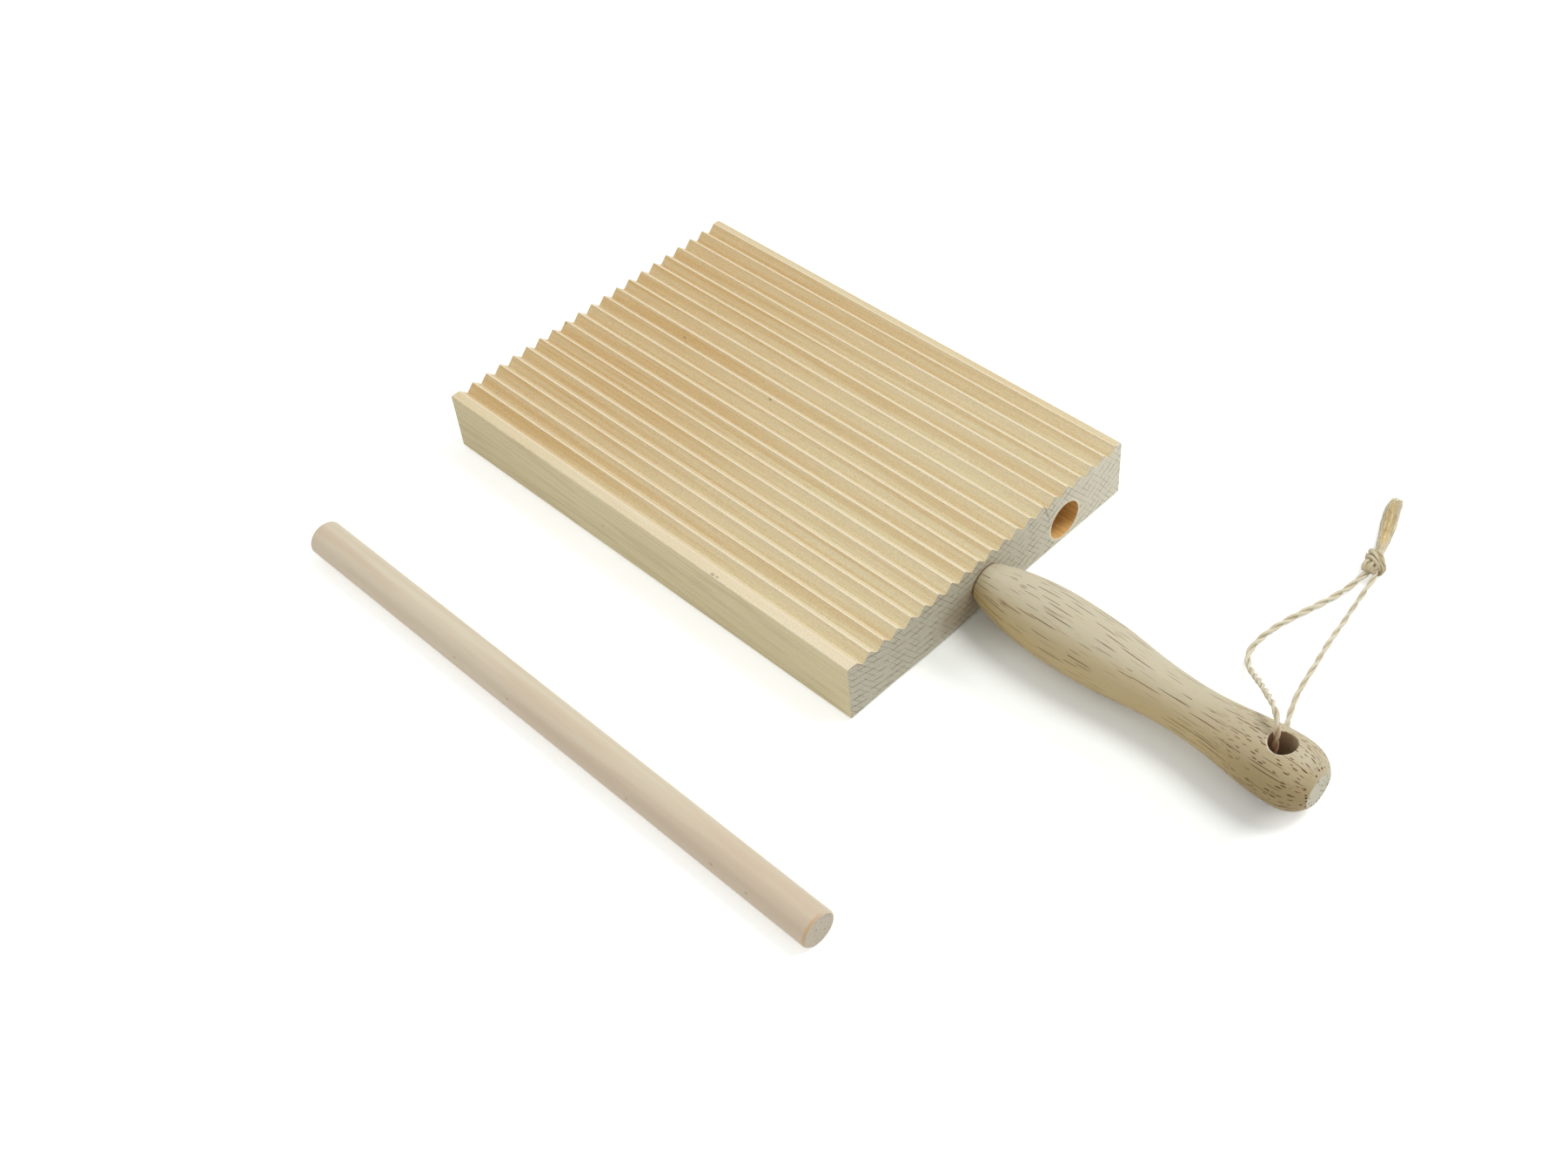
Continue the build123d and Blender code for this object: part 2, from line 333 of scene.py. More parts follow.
# Bands are from, to and amount; ramps are from and to
plankWood = dict(
    roughness=0.62,
    bump=0.25 * mm,
    figure={"Band Length": 0.13, "Band Width": 0.0022, "Fibre Width": 0.0005, "Mottle Size": 0.0005},
    grain=(0.4, 0.8),
    fibreHeight=0.35,
    ringHeight=0.8,
    sideRamp=(0.86, 0.94),
    endRamp=(0.55, 0.75),
    # Grooved face
    topPale=(0.795, 0.705, 0.475),
    topOrange=(0.655, 0.445, 0.185),
    topCream=(0.92, 0.84, 0.66),
    grooveDepth=2.3 * mm,
    groovedHalf=52 * mm,
    groovedEdge=0.3 * mm,
    nearPlain=20 * mm,
    farTone=(0.20, 0.24),
    heightTone=0.22,
    topBands=(0.44, 0.64, 0.34),
    topFibres=(0.45, 0.7, 0.16),
    slopeRamps=((0.3, 0.5), (0.35, 0.8)),
    levelRamps=((0.93, 0.98), (0.5, 0.8)),
    slopeCream=0.6,
    marginCream=0.5,
    creamShare=0.85,
    valleyRise=0.2 * mm,
    farEdge=(2.2 * mm, 1 * mm),
    shadedShare=0.35,
    # Long sides
    sidePale=(0.755, 0.65, 0.40),
    sideLine=(0.55, 0.44, 0.245),
    sideSlant=0.02,
    sideCell=(90 * mm, 3.6 * mm),
    sideFibres=(0.45, 0.75, 0.25),
    sideLines=(0.0, 0.055, 0.4),
    sideFar=(60 * mm, 0.36),
    # Sawn ends
    endShade=(0.57, 0.535, 0.41),
    endLight=(0.80, 0.75, 0.60),
    endLine=(0.27, 0.215, 0.155),
    endTip=(0.50, 0.27, 0.17),
    endBrown=(0.30, 0.22, 0.12),
    lighterFrom=-10 * mm,
    brownPlace=(0.0, -0.0105, 0.0065),
    brownAcross=(0.0, 0.7, 1.3),
    brownBand=(3 * mm, 11 * mm, 0.6),
    ringShare=0.66,
    sawShare=0.62,
    lineFade=(-0.4, 1.4),
    tearBand=(0.5, 0.8, 0.25),
    pith=(0.0, -0.022, 0.120),
    ringSpacing=2.4 * mm,
    sawSpacing=1.55 * mm,
    sawNormal=(0.0, 0.78, 0.62),
    tipStains=[(-0.0505, 0.0187), (-0.0133, 0.0187), (-0.0082, 0.0185), (-0.0027, 0.0186)],
    tipAcross=(0.0, 0.8, 1.0),
    tipBand=(0.3 * mm, 1.3 * mm, 0.7),
    # Bore
    boreWarm=(0.86, 0.53, 0.18),
    boreDark=(0.46, 0.20, 0.035),
    boreEdge=0.08 * mm,
    boreFrom=(1 * mm, 2 * mm),
    boreDeeper=(13 * mm, 1 * mm, 0.65),
    boreUpper=(2 * mm, 0.3),
    boreStreak=(0.4, 0.65, 0.4),
    rimPale=(0.92, 0.84, 0.66),
    rimOut=0.25 * mm,
    rimRamp=(0.1 * mm, 0.45 * mm),
    rimDepths=(0.5 * mm, 0.1 * mm),
    rimShare=0.85,
    # Crack and specks
    crackPlace=(0.080, 0.0228, 0.0162),
    crackNormal=(0.375, 0.888, 0.266),
    crackStart=(77.8 * mm, 12.5 * mm),
    crackFade=2 * mm,
    crackBand=(0.05 * mm, 0.22 * mm, 0.7),
    specks=[
        (-0.0072, 0.0046, 0.0196, 0.0005, 0.6),
        (-0.0476, 0.0086, 0.0184, 0.0005, 0.6),
        (-0.0796, -0.0109, 0.0197, 0.0005, 0.6),
        (0.0303, -0.0543, 0.0200, 0.0006, 0.6),
        (0.0319, -0.0542, 0.0200, 0.0005, 0.5),
        (-0.0150, -0.0552, 0.0089, 0.0005, 0.5),
    ],
    speckAcross=(0.6, 1, 1),
    speckColour=(0.22, 0.13, 0.07),
)


def plankTop(tree, s, figure, parts, normal):
    # Grooved face: deeper orange towards the crests, which is painted shading across each facet, and towards
    # the far end; a thin pale line along each crest, which is a painted highlight
    valley = boardHigh.z - s["grooveDepth"]
    half, outer = s["groovedHalf"], s["groovedHalf"] + s["groovedEdge"]
    height = ramp(tree, parts[2], valley, boardHigh.z)
    farther = ramp(tree, parts[0], boardLow.x, boardHigh.x - s["nearPlain"], falls=True)
    grooved = ramp(tree, maths(tree, "ABSOLUTE", parts[1]), half, outer, falls=True)
    height = times(tree, height, grooved)
    farther = times(tree, farther, timesPlus(tree, grooved, *s["farTone"]))
    # Painted shading across each facet: deeper orange towards the crests
    tone = timesPlus(tree, height, s["heightTone"], farther)
    tone = bandOn(tree, tone, figure["Bands"], *s["topBands"])
    tone = bandOn(tree, tone, figure["Fibres"], *s["topFibres"], clamp=True)
    colour = mix(tree, tone, s["topPale"], s["topOrange"])

    # Painted highlight: cream on the crests' far slopes, which face the lamp, and on their flats; cream also
    # on the plain margin nearest to the camera
    slopeRamp, slopeHeight = s["slopeRamps"]
    levelRamp, levelHeight = s["levelRamps"]
    slope = times(tree, ramp(tree, normal[1], *slopeRamp), ramp(tree, height, *slopeHeight))
    level = times(tree, ramp(tree, normal[2], *levelRamp), ramp(tree, height, *levelHeight))
    cream = maths(tree, "MAXIMUM", times(tree, slope, s["slopeCream"]), level)
    margin = ramp(tree, parts[1], -outer, -half, falls=True)
    margin = times(tree, margin, ramp(tree, parts[0], boardLow.x, boardHigh.x))
    cream = maths(tree, "MAXIMUM", cream, times(tree, margin, s["marginCream"]))
    colour = mix(tree, times(tree, cream, s["creamShare"]), colour, s["topCream"])

    # Painted shade along the valleys and on the far edge
    edgeStart, edgeEnd = s["farEdge"]
    farEdge = ramp(tree, parts[1], boardHigh.y - edgeStart, boardHigh.y - edgeEnd)
    low = ramp(tree, parts[2], valley, valley + s["valleyRise"], falls=True)
    valleyEdgeShade = times(tree, maths(tree, "MAXIMUM", low, farEdge), s["shadedShare"])
    return mix(tree, valleyEdgeShade, colour, s["sideLine"])


def plankSide(tree, s, figure, parts):
    # Long sides: the rings' edges run along as thin lines
    slant = timesPlus(tree, parts[0], s["sideSlant"], parts[2])
    long, high = s["sideCell"]
    cell = combine(tree, maths(tree, "DIVIDE", parts[0], long), maths(tree, "DIVIDE", slant, high))
    wave = noiseValue(tree, cell, detail=1.5)
    mask = bandOn(tree, 0.0, figure["Fibres"], *s["sideFibres"])
    mask = bandOn(tree, mask, offFrom(tree, wave, 0.5), *s["sideLines"], falls=True)
    reach, share = s["sideFar"]
    mask = bandOn(tree, mask, parts[0], boardLow.x, boardLow.x + reach, share, falls=True, clamp=True)
    return mix(tree, mask, s["sidePale"], s["sideLine"])


def plankEnd(tree, s, end, place, parts):
    # Sawn ends: lighter towards +Y, partly painted light, with stained crest tips and a patch of painted
    # shadow beside the handle
    lighter = ramp(tree, parts[1], s["lighterFrom"], boardHigh.y)
    colour = mix(tree, lighter, s["endShade"], s["endLight"])
    handleEnd = ramp(tree, parts[0], 0.0, boardHigh.x)
    # Painted shadow of the handle on the plank's end
    fromHandleShadow = distanceFrom(tree, place, s["brownPlace"], s["brownAcross"])
    brown = times(tree, bandOn(tree, 0.0, fromHandleShadow, *s["brownBand"], falls=True), handleEnd)
    colour = mix(tree, brown, colour, s["endBrown"])
    lines = timesPlus(tree, end["Rings"], s["ringShare"], times(tree, end["Saw"], s["sawShare"]))
    lines = times(tree, lines, timesPlus(tree, lighter, *s["lineFade"]))
    lines = bandOn(tree, lines, end["Tear"], *s["tearBand"], clamp=True)
    colour = mix(tree, lines, colour, s["endLine"])
    for y, z in s["tipStains"]:
        away = distanceFrom(tree, place, (0.0, y, z), s["tipAcross"])
        stain = times(tree, bandOn(tree, 0.0, away, *s["tipBand"], falls=True), handleEnd)
        colour = mix(tree, stain, colour, s["endTip"])
    return colour


def plankBore(tree, s, figure, place, parts, colour):
    # Bore: warm inside, with darker grain streaks and painted shade deeper in and towards the top; a pale
    # crisp rim
    fromBore = distanceFrom(tree, place, tuple(bore["pos_m"]), (0, 1, 1))
    inBore = ramp(tree, fromBore, boreRadius, boreRadius + s["boreEdge"], falls=True)
    start, full = s["boreFrom"]
    inBore = times(tree, inBore, ramp(tree, parts[0], boardLow.x + start, boardLow.x + full))
    deep, mouth, deepShare = s["boreDeeper"]
    below, upperShare = s["boreUpper"]
    boreHeight = bore["pos_m"][2]
    # Darker grain streaks, and painted shade deeper in the bore and towards its top
    dark = bandOn(tree, 0.0, figure["Fibres"], *s["boreStreak"])
    dark = bandOn(tree, dark, parts[2], boreHeight - below, boreHeight + boreRadius, upperShare)
    dark = bandOn(
        tree, dark, parts[0], boardHigh.x - deep, boardHigh.x - mouth, deepShare, falls=True, clamp=True
    )
    inside = mix(tree, dark, s["boreWarm"], s["boreDark"])
    colour = mix(tree, inBore, colour, inside)
    rim = ramp(tree, offFrom(tree, fromBore, boreRadius + s["rimOut"]), *s["rimRamp"], falls=True)
    start, full = s["rimDepths"]
    rim = times(tree, rim, ramp(tree, parts[0], boardHigh.x - start, boardHigh.x - full))
    return mix(tree, times(tree, rim, s["rimShare"]), colour, s["rimPale"])


def makePlankWood(s):
    material, tree, shader, place, normal = newMaterial("plankWood", s["roughness"])
    parts = separate(tree, place)
    figure = useGroup(tree, woodFigure, {"Vector": place, **s["figure"]})
    end = useGroup(
        tree,
        endGrain,
        {
            "Vector": place, "Pith": s["pith"], "Ring Spacing": s["ringSpacing"],
            "Saw Spacing": s["sawSpacing"], "Saw Normal": s["sawNormal"],
        },
    )
    onSide = ramp(tree, maths(tree, "ABSOLUTE", normal[1]), *s["sideRamp"])
    onEnd = ramp(tree, maths(tree, "ABSOLUTE", normal[0]), *s["endRamp"])
    top = plankTop(tree, s, figure, parts, normal)
    colour = mix(tree, onSide, top, plankSide(tree, s, figure, parts))
    colour = mix(tree, onEnd, colour, plankEnd(tree, s, end, place, parts))
    colour = plankBore(tree, s, figure, place, parts, colour)
    colour = addSpots(tree, place, colour, s["specks"], s["speckAcross"], s["speckColour"])

    # A short crack in the grain beside the bore
    fromCrack = vectorMaths(tree, "SUBTRACT", place, s["crackPlace"])
    crack = maths(tree, "ABSOLUTE", dot(tree, fromCrack, s["crackNormal"]))
    crack = bandOn(tree, 0.0, crack, *s["crackBand"], falls=True)
    for part, start in zip((parts[0], parts[2]), s["crackStart"]):
        crack = times(tree, crack, ramp(tree, part, start, start + s["crackFade"]))
    colour = mix(tree, crack, colour, s["speckColour"])

    grain = timesPlus(tree, figure["Mottle"], *s["grain"])
    colour = vectorMaths(tree, "MULTIPLY", colour, combine(tree, grain, grain, grain))
    endHeight = maths(tree, "SUBTRACT", end["Tear"], times(tree, end["Rings"], s["ringHeight"]))
    fibreHeight = times(tree, figure["Mottle"], s["fibreHeight"])
    fibreHeight = timesPlus(tree, figure["Fibres"], s["fibreHeight"], fibreHeight)
    dress(tree, shader, colour, mixValue(tree, onEnd, fibreHeight, endHeight), s["bump"])
    return material


# Handle: turned wood with open vessels
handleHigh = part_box("turned_handle")[1]
handleSettings = dict(
    roughness=0.55,
    bump=0.1 * mm,
    fibreHeight=0.25,
    poreShine=(-0.45, 0.45),
    figure={"Band Length": 0.06, "Band Width": 0.005, "Fibre Width": 0.0004, "Mottle Size": 0.0008},
    pale=(0.605, 0.55, 0.40),
    shade=(0.525, 0.395, 0.18),
    bulb=(0.545, 0.475, 0.325),
    deepShade=(0.29, 0.205, 0.085),
    pore=(0.14, 0.045, 0.015),
    finePore=(0.35, 0.195, 0.09),
    holeWarm=(0.33, 0.18, 0.075),
    holeLight=(0.50, 0.40, 0.26),
    endPale=(0.60, 0.585, 0.465),
    rimPale=(0.84, 0.77, 0.62),
    axis=(0.0, -2.4 * mm, 10.0 * mm),
    skinRadius=7.5 * mm,
    # Vessels on the skin, fine ones between them, short ones at the bulb, and dots on the end
    pores={"Length": 0.017, "Gap": 0.00105, "Thinness": 4.0, "Share": 0.95},
    fine={"Length": 0.009, "Gap": 0.0010, "Thinness": 4.0, "Share": 0.7},
    short={"Length": 0.003, "Gap": 0.00085, "Thinness": 2.0, "Share": 0.95},
    dots={"Length": 0.0013, "Gap": 0.0011, "Thinness": 1.0, "Share": 0.5},
    poreShare=0.95,
    fineShare=0.65,
    # Distances from the handle's end where the bulb's pores and its colour start and are full
    bulbPores=(34 * mm, 10 * mm),
    bulbColour=(50 * mm, 15 * mm),
    bluntRamp=(0.55, 0.8),
    light=(0.0, 0.6, 0.8),
    turnedRamp=(-0.6, 0.8),
    turnedTone=0.85,
    bands=(0.4, 0.7, 0.22),
    fibres=(0.4, 0.75, 0.12),
    deepShare=0.75,
    endRamp=(0.9, 0.97),
    endDepth=1 * mm,
    endDots=(-0.6, 0.8),
    joint=(0.2 * mm, 0.8 * mm, 0.9),
    holeFromEnd=11.3 * mm,
    holeRadius=3.6 * mm,
    holeEdge=0.1 * mm,
    wallNormal=(0.7, 0.7, 0.0),
    wallRamp=(-1 * mm, 3.6 * mm),
    rimOut=0.22 * mm,
    rimBand=(0.1 * mm, 0.3 * mm, 0.5),
    rimSide=(-1.5 * mm, 3 * mm),
    marks=[(0.0939, -0.0037, 0.0188, 0.0008, 0.45), (0.0919, -0.0092, 0.0152, 0.0008, 0.35)],
    markAcross=(0.45, 1, 0.7),
    markColour=(0.26, 0.13, 0.065),
)
hangHole = (handleHigh.x - handleSettings["holeFromEnd"], handleSettings["axis"][1], 0)


def makeHandleWood(s):
    material, tree, shader, place, normal = newMaterial("handleWood", s["roughness"])
    parts = separate(tree, place)
    figure = useGroup(tree, woodFigure, {"Vector": place, **s["figure"]})

    # The skin rolled out flat, so that vessels run along it, and as plain dots on the end
    fromAxis = separate(tree, vectorMaths(tree, "SUBTRACT", place, s["axis"]))
    around = times(tree, maths(tree, "ARCTAN2", fromAxis[1], fromAxis[2]), s["skinRadius"])
    skin = combine(tree, parts[0], around)
    endFace = combine(tree, parts[1], parts[2])
    pores, fine, short, dots = (
        useGroup(tree, woodPores, {"Vector": vector, **s[name]})["Pores"]
        for name, vector in (("pores", skin), ("fine", skin), ("short", skin), ("dots", endFace))
    )
    atBulb, nearBulb = (
        ramp(tree, parts[0], handleHigh.x - start, handleHigh.x - full)
        for start, full in (s["bulbPores"], s["bulbColour"])
    )
    pores = maths(tree, "MAXIMUM", pores, times(tree, short, atBulb))
    pores = mixValue(tree, ramp(tree, normal[0], *s["bluntRamp"]), pores, dots)

    # Painted shade where the surface turns away from the light, deepest at the bulb; the wood also darkens
    # towards the bulb
    facing = dot(tree, combine(tree, *normal), s["light"])
    turned = ramp(tree, facing, *s["turnedRamp"], falls=True)
    tone = bandOn(tree, times(tree, turned, s["turnedTone"]), figure["Bands"], *s["bands"])
    tone = bandOn(tree, tone, figure["Fibres"], *s["fibres"], clamp=True)
    pale = mix(tree, nearBulb, s["pale"], s["bulb"])
    colour = mix(tree, tone, pale, s["shade"])
    # Deeper painted shade on the bulb's side away from the light
    deep = times(tree, times(tree, atBulb, turned), s["deepShare"])
    colour = mix(tree, deep, colour, s["deepShade"])
    colour = mix(tree, times(tree, fine, s["fineShare"]), colour, s["finePore"])
    colour = mix(tree, times(tree, pores, s["poreShare"]), colour, s["pore"])
    colour = addSpots(tree, place, colour, s["marks"], s["markAcross"], s["markColour"])

    # Flat end, paler partly as painted light, and a ring of painted contact shade where the handle meets the
    # plank
    onEnd = ramp(tree, parts[0], handleHigh.x - s["endDepth"], handleHigh.x)
    onEnd = times(tree, ramp(tree, normal[0], *s["endRamp"]), onEnd)
    endMask = times(tree, onEnd, timesPlus(tree, dots, *s["endDots"]))
    colour = mix(tree, endMask, colour, s["endPale"])
    start, full, share = s["joint"]
    joint = bandOn(tree, 0.0, parts[0], boardHigh.x + start, boardHigh.x + full, share, falls=True)
    colour = mix(tree, joint, colour, s["pore"])

    # The hole's wall, with painted light on the side that faces the camera and painted shade on the other
    # side, and its rim
    fromHole = distanceFrom(tree, place, hangHole, (1, 1, 0))
    inHole = ramp(tree, fromHole, s["holeRadius"], s["holeRadius"] + s["holeEdge"], falls=True)
    wall = dot(tree, vectorMaths(tree, "SUBTRACT", place, hangHole), s["wallNormal"])
    litWall = ramp(tree, wall, *s["wallRamp"])
    colour = mix(tree, inHole, colour, mix(tree, litWall, s["holeWarm"], s["holeLight"]))
    rim = offFrom(tree, fromHole, s["holeRadius"] + s["rimOut"])
    rim = bandOn(tree, 0.0, rim, *s["rimBand"], falls=True)
    rim = times(tree, rim, ramp(tree, wall, *s["rimSide"], falls=True))
    colour = mix(tree, rim, colour, s["rimPale"])
    tree.links.new(timesPlus(tree, pores, *s["poreShine"]), shader.inputs["Specular IOR Level"])
    height = maths(tree, "SUBTRACT", times(tree, figure["Fibres"], s["fibreHeight"]), pores)
    dress(tree, shader, colour, height, s["bump"])
    return material


# Rod: a smooth pale dowel
rodLow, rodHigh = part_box("rolling_rod")
rodSettings = dict(
    roughness=0.5,
    bump=0.2 * mm,
    fibreHeight=0.2,
    figure={"Band Length": 0.05, "Band Width": 0.0035, "Fibre Width": 0.0003, "Mottle Size": 0.0009},
    pale=(0.725, 0.65, 0.49),
    pink=(0.655, 0.53, 0.385),
    line=(0.55, 0.42, 0.28),
    endPale=(0.56, 0.48, 0.37),
    endDark=(0.34, 0.28, 0.20),
    scorch=(0.62, 0.38, 0.17),
    bands=(0.35, 0.65, 0.6),
    nearSide=(-0.5, 0.35, 0.5),
    nearEnd=(20 * mm, 0.35),
    fibres=(0.5, 0.8, 0.16),
    endRamp=(0.85, 0.95),
    tearScale=1300.0,
    tearRamp=(0.5, 0.75),
    scorchWidths=(0.9 * mm, 0.3 * mm),
    scorchSide=(0.0, -0.6, 0.6),
    scorchBand=(0.15, 0.6, 0.7),
    speck=(0.36, 0.26, 0.17),
    speckAcross=(0.6, 1, 1),
    specks=[
        (0.0891, -0.1130, 0.0072, 0.0005, 0.7),
        (0.1011, -0.1131, 0.0070, 0.0004, 0.7),
        (-0.0099, -0.1130, 0.0074, 0.0004, 0.7),
        (0.0123, -0.1129, 0.0076, 0.0004, 0.7),
        (0.0589, -0.1133, 0.0065, 0.0005, 0.7),
        (0.1203, -0.1090, 0.0062, 0.0006, 0.7),
        (0.1203, -0.1065, 0.0040, 0.0005, 0.7),
    ],
)


def makeRodWood(s):
    material, tree, shader, place, normal = newMaterial("rodWood", s["roughness"])
    parts = separate(tree, place)
    figure = useGroup(tree, woodFigure, {"Vector": place, **s["figure"]})
    tone = bandOn(tree, 0.0, figure["Bands"], *s["bands"])
    # Painted shade: pinker and darker on the side turned away from the lamp
    tone = bandOn(tree, tone, normal[1], *s["nearSide"], falls=True, clamp=True)
    start, share = s["nearEnd"]
    tone = bandOn(tree, tone, parts[0], start, rodHigh.x, share)
    colour = mix(tree, tone, s["pale"], s["pink"])
    colour = mix(tree, bandOn(tree, 0.0, figure["Fibres"], *s["fibres"]), colour, s["line"])
    onEnd = ramp(tree, maths(tree, "ABSOLUTE", normal[0]), *s["endRamp"])
    tear = noiseValue(tree, place, scale=s["tearScale"], detail=3.0, roughness=0.7)
    torn = ramp(tree, tear, *s["tearRamp"])
    colour = mix(tree, onEnd, colour, mix(tree, torn, s["endPale"], s["endDark"]))
    colour = addSpots(tree, place, colour, s["specks"], s["speckAcross"], s["speck"])

    # A warm edge on one side of each end
    wide, narrow = s["scorchWidths"]
    atHigh = ramp(tree, parts[0], rodHigh.x - wide, rodHigh.x - narrow)
    atLow = ramp(tree, parts[0], rodLow.x + narrow, rodLow.x + wide, falls=True)
    left = dot(tree, combine(tree, *normal), s["scorchSide"])
    scorch = times(tree, maths(tree, "MAXIMUM", atHigh, atLow), bandOn(tree, 0.0, left, *s["scorchBand"]))
    colour = mix(tree, scorch, colour, s["scorch"])
    height = mixValue(tree, onEnd, times(tree, figure["Fibres"], s["fibreHeight"]), tear)
    dress(tree, shader, colour, height, s["bump"])
    return material


for nodeName, material in (
    ("ribbed_board", makePlankWood(plankWood)),
    ("turned_handle", makeHandleWood(handleSettings)),
    ("rolling_rod", makeRodWood(rodSettings)),
):
    mesh = nodes[nodeName].data
    mesh.materials.clear()
    mesh.materials.append(material)
print("wood materials made")


# Twine: two plies laid round each other, each a bundle of fibres
twine = dict(
    diameter=1.8 * mm,
    plyRadius=0.45 * mm,
    plyOffset=0.44 * mm,
    lay=10.0 * mm,
    ridges=5,
    ridgeDepth=0.07,
    fibreLay=22.0 * mm,
    sides=20,
    step=0.3 * mm,
    unevenness=0.26,
    hairsPerMetre=6800,
    hairLength=(1.0 * mm, 3.0 * mm),
    hairRadius=0.035 * mm,
    hairLinks=4,
    hairShare=(0.4, 1.0),
    hairLift=(0.04, 0.34),
    hairBend=0.35,
    hairRoot=0.36,
    hairEnds=(2, 8),  # route points left bare at each end
    leastHeight=0.1 * mm,
    lumpScale=160,
    lumpSteps=(7.3, 1.7),  # from ply to ply and from seed to seed
    shadeStep=0.37 * mm,
    thinner=0.82,
    roughness=0.85,
    sheen=0.25,
    bump=0.1 * mm,
    fibreScale=(220.0, 4200.0, 4200.0),
    fibreBand=(0.46, 0.62, 0.6),
    slowScale=320.0,
    slowBand=(0.5, 0.75, 0.3),
    betweenBand=(0.4 * mm, 0.74 * mm, 0.34),
    rubbedRamp=(3 * mm, 6.5 * mm),
    rubbedHeights=(-2 * mm, 4 * mm),
    rubbedLeast=0.4,
    blotchScale=2200.0,
    blotchBand=(0.38, 0.58, 0.5),
    pale=(0.84, 0.785, 0.60),
    tan=(0.55, 0.445, 0.245),
    brown=(0.60, 0.32, 0.13),
    deep=(0.40, 0.31, 0.19),
)

# The same route points as the part's own twine, in metres
overHandle = [
    (0.17045, -0.0015, 0.009), (0.17042, -0.00165, 0.0126), (0.17045, -0.00165, 0.0166),
    (0.17025, -0.0015, 0.0201), (0.1692, -0.0004, 0.0227), (0.1665, 0.0022, 0.0231),
    (0.1638, 0.0051, 0.0208), (0.1595, 0.0098, 0.0162), (0.1542, 0.0155, 0.0109), (0.1488, 0.0212, 0.0049),
    (0.1446, 0.0256, 0.0014), (0.1421, 0.0298, 0.00095), (0.1418, 0.0359, 0.00095),
    (0.1428, 0.0429, 0.00095), (0.1449, 0.0501, 0.00095), (0.1471, 0.057, 0.00095),
    (0.1486, 0.0629, 0.0012), (0.1496, 0.0675, 0.0021), (0.1505, 0.0716, 0.0032),
]
underHandle = [
    (0.17045, -0.0015, 0.009), (0.170468, -0.00141, 0.00684), (0.17052, -0.00133, 0.0046),
    (0.1706, -0.00115, 0.0024), (0.1706, 0.0006, 0.00095), (0.1694, 0.0035, 0.00095),
    (0.1676, 0.0076, 0.00095), (0.1647, 0.0136, 0.00095), (0.1616, 0.0204, 0.00095),
    (0.1592, 0.0279, 0.00095), (0.1579, 0.0358, 0.00095), (0.1561, 0.0443, 0.00095),
    (0.1549, 0.0526, 0.00095), (0.1537, 0.0603, 0.001), (0.153, 0.0665, 0.0019), (0.1524, 0.072, 0.0032),
]


def smoothRoute(points):
    # The line of a NURBS spline with these control points
    curve = bpy.data.curves.new("route", "CURVE")
    curve.dimensions = "3D"
    curve.resolution_u = 24  # line points between two control points
    spline = curve.splines.new("NURBS")
    spline.points.add(len(points) - 1)
    for point, place in zip(spline.points, points):
        point.co = (*place, 1.0)
    spline.order_u = 3
    spline.use_endpoint_u = True
    holder = bpy.data.objects.new("route", curve)
    mesh = bpy.data.meshes.new_from_object(holder)
    line = [vertex.co.copy() for vertex in mesh.vertices]
    bpy.data.meshes.remove(mesh)
    bpy.data.curves.remove(curve)
    return line


def evenly(line, step):
    # The line again with points a step apart, and each point's distance along it
    lengths = [0.0]
    for a, b in zip(line, line[1:]):
        lengths.append(lengths[-1] + (b - a).length)
    count = max(2, math.ceil(lengths[-1] / step) + 1)
    points, distances, index = [], [], 0
    for i in range(count):
        target = lengths[-1] * i / (count - 1)
        while index < len(line) - 2 and lengths[index + 1] < target:
            index += 1
        span = lengths[index + 1] - lengths[index]
        share = (target - lengths[index]) / span if span else 0.0
        points.append(line[index].lerp(line[index + 1], min(1.0, share)))
        distances.append(target)
    return points, distances


def aheadAt(points, i):
    return (points[min(i + 1, len(points) - 1)] - points[max(i - 1, 0)]).normalized()


def carriedFrames(points, firstSide):
    # A side and an up direction at each point, carried along without twist
    frames, side = [], Vector(firstSide)
    for i in range(len(points)):
        ahead = aheadAt(points, i)
        side = (side - ahead * side.dot(ahead)).normalized()
        frames.append((side, ahead.cross(side)))
    return frames


def skinRings(bm, rings):
    # Faces from ring to ring and a cap at both ends
    sides = len(rings[0])
    for a, b in zip(rings, rings[1:]):
        for k in range(sides):
            bm.faces.new((a[k], a[(k + 1) % sides], b[(k + 1) % sides], b[k]))
    bm.faces.new(rings[0][::-1])
    bm.faces.new(rings[-1])


def layPly(bm, layer, s, middles, centres, frames, distances, radiusAt, phase):
    # One closed tube whose section carries ridges that turn as they go along
    # Each vertex notes its place along the ply, its turn round it and its distance from the middle
    rings = []
    for middle, centre, (side, up), along in zip(middles, centres, frames, distances):
        ring = []
        for k in range(s["sides"]):
            angle = math.tau * k / s["sides"]
            ownAngle = angle - math.tau * along / s["fibreLay"] + phase
            radius = radiusAt(along) * (1 + s["ridgeDepth"] * math.cos(s["ridges"] * ownAngle))
            aside = centre + side * (radius * math.cos(angle))
            vertex = bm.verts.new(aside + up * (radius * math.sin(angle)))
            reach = (vertex.co - middle).length
            vertex[layer] = (along, math.cos(ownAngle) * reach, math.sin(ownAngle) * reach)
            ring.append(vertex)
        rings.append(ring)
    skinRings(bm, rings)


fibreSides = 3
fibreReach = 0.02  # keeps stray fibres clear of the painted shade between the plies
straight = 1e-6


